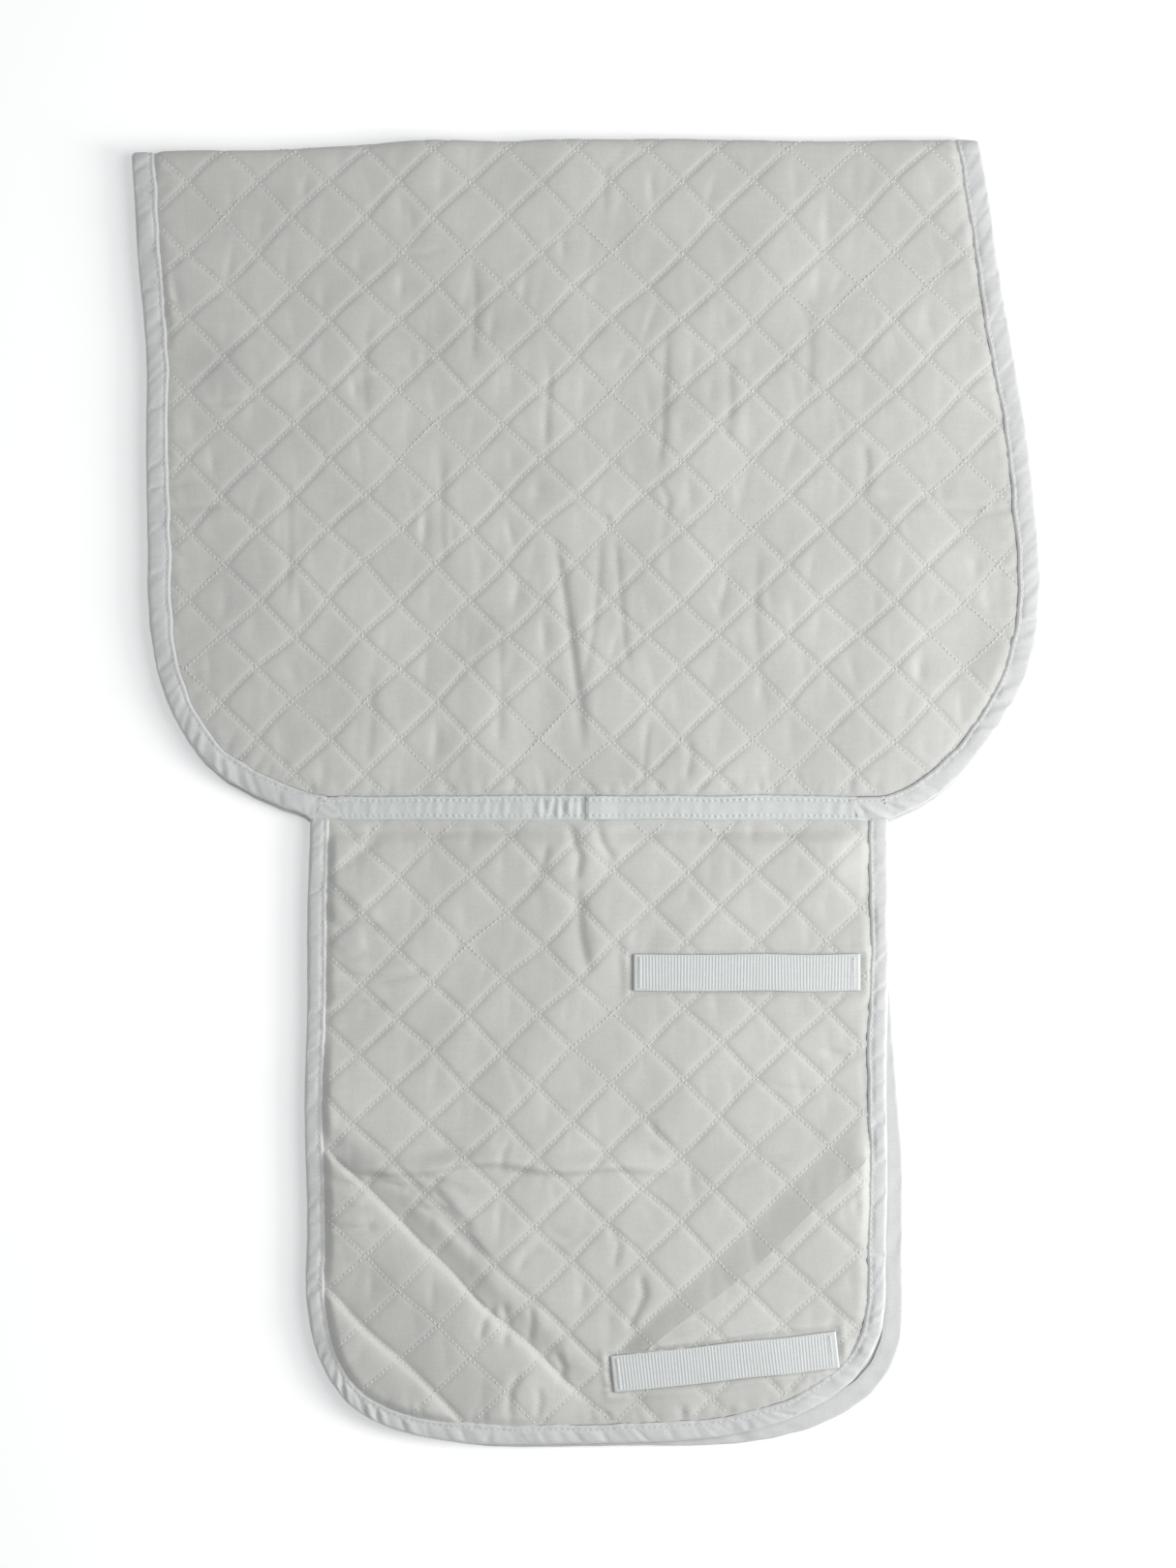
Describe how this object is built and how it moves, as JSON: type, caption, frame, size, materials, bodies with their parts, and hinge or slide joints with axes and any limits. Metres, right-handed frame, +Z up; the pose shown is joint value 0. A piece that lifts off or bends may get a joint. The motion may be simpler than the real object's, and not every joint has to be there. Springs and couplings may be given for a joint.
{
  "type": "saddle pad",
  "caption": "Quilted saddle pad with drop panels, folded along its spine: padded skirts, taped seams, bound edges and sewn webbing keeper straps.",
  "frame": {"origin": "bottom centre of the whole pad's box, on the floor side of the off half", "axes": "+X towards the front of the pad, +Y from the fender hem up to the spine fold, +Z up through the folded pad to the near side's outer face"},
  "size_m": [0.625, 0.9, 0.0146],
  "materials": {
    "quilted_cotton": "matt plain-weave white cotton, quilted in diamonds",
    "lining_cotton": "matt plain-weave white cotton",
    "wadding": "lofty white fibre wadding",
    "edge_binding": "smooth folded cotton tape",
    "seam_tape": "smooth woven tape with a slight sheen",
    "webbing": "ribbed woven webbing with a slight sheen",
    "thread": "white sewing thread"
  },
  "bodies": {
    "off_skirt": {"off_skirt_cover": "quilted_cotton", "off_skirt_wadding": "wadding", "off_skirt_lining": "lining_cotton", "off_rear_edge_binding": "edge_binding", "off_front_edge_binding": "edge_binding", "off_rear_seam_tape": "seam_tape", "off_front_seam_tape": "seam_tape", "spine_fold": "quilted_cotton"},
    "near_skirt": {"near_skirt_cover": "quilted_cotton", "near_skirt_wadding": "wadding", "near_skirt_lining": "lining_cotton", "near_rear_edge_binding": "edge_binding", "near_front_edge_binding": "edge_binding", "near_rear_seam_tape": "seam_tape", "near_front_seam_tape": "seam_tape"},
    "near_fender": {"near_fender_cover": "quilted_cotton", "near_fender_wadding": "wadding", "near_fender_lining": "lining_cotton", "near_fender_binding": "edge_binding", "near_upper_strap_rear_end": "webbing", "near_upper_strap_front_end": "webbing", "near_upper_rear_tack": "thread", "near_upper_front_tack": "thread", "near_lower_strap_rear_end": "webbing", "near_lower_strap_front_end": "webbing", "near_lower_rear_tack": "thread", "near_lower_front_tack": "thread"},
    "off_fender": {"off_fender_cover": "quilted_cotton", "off_fender_wadding": "wadding", "off_fender_lining": "lining_cotton", "off_fender_binding": "edge_binding", "off_upper_strap_rear_end": "webbing", "off_upper_strap_front_end": "webbing", "off_upper_rear_tack": "thread", "off_upper_front_tack": "thread", "off_lower_strap_rear_end": "webbing", "off_lower_strap_front_end": "webbing", "off_lower_rear_tack": "thread", "off_lower_front_tack": "thread"},
    "near_upper_span": {"near_upper_strap": "webbing"},
    "near_lower_span": {"near_lower_strap": "webbing"},
    "off_upper_span": {"off_upper_strap": "webbing"},
    "off_lower_span": {"off_lower_strap": "webbing"}
  },
  "joints": [
    {"name": "spine_hinge", "type": "hinge", "parent": "off_skirt", "child": "near_skirt", "pos_m": [0, 0.4435, 0.0073], "axis": [-1, 0, 0], "range_deg": [0, 178]},
    {"name": "near_fender_fold", "type": "hinge", "parent": "near_skirt", "child": "near_fender", "pos_m": [0, -0.0198, 0.0149], "axis": [-1, 0, 0], "range_deg": [0, 165]},
    {"name": "off_fender_fold", "type": "hinge", "parent": "off_skirt", "child": "off_fender", "pos_m": [0, -0.0198, -0.0003], "axis": [1, 0, 0], "range_deg": [0, 165]},
    {"name": "near_upper_strap_lift", "type": "slide", "parent": "near_fender", "child": "near_upper_span", "axis": [0, 0, 1], "range_m": [0, 0.012]},
    {"name": "near_lower_strap_lift", "type": "slide", "parent": "near_fender", "child": "near_lower_span", "axis": [0, 0, 1], "range_m": [0, 0.012]},
    {"name": "off_upper_strap_lift", "type": "slide", "parent": "off_fender", "child": "off_upper_span", "axis": [0, 0, -1], "range_m": [0, 0.012]},
    {"name": "off_lower_strap_lift", "type": "slide", "parent": "off_fender", "child": "off_lower_span", "axis": [0, 0, -1], "range_m": [0, 0.012]}
  ]
}
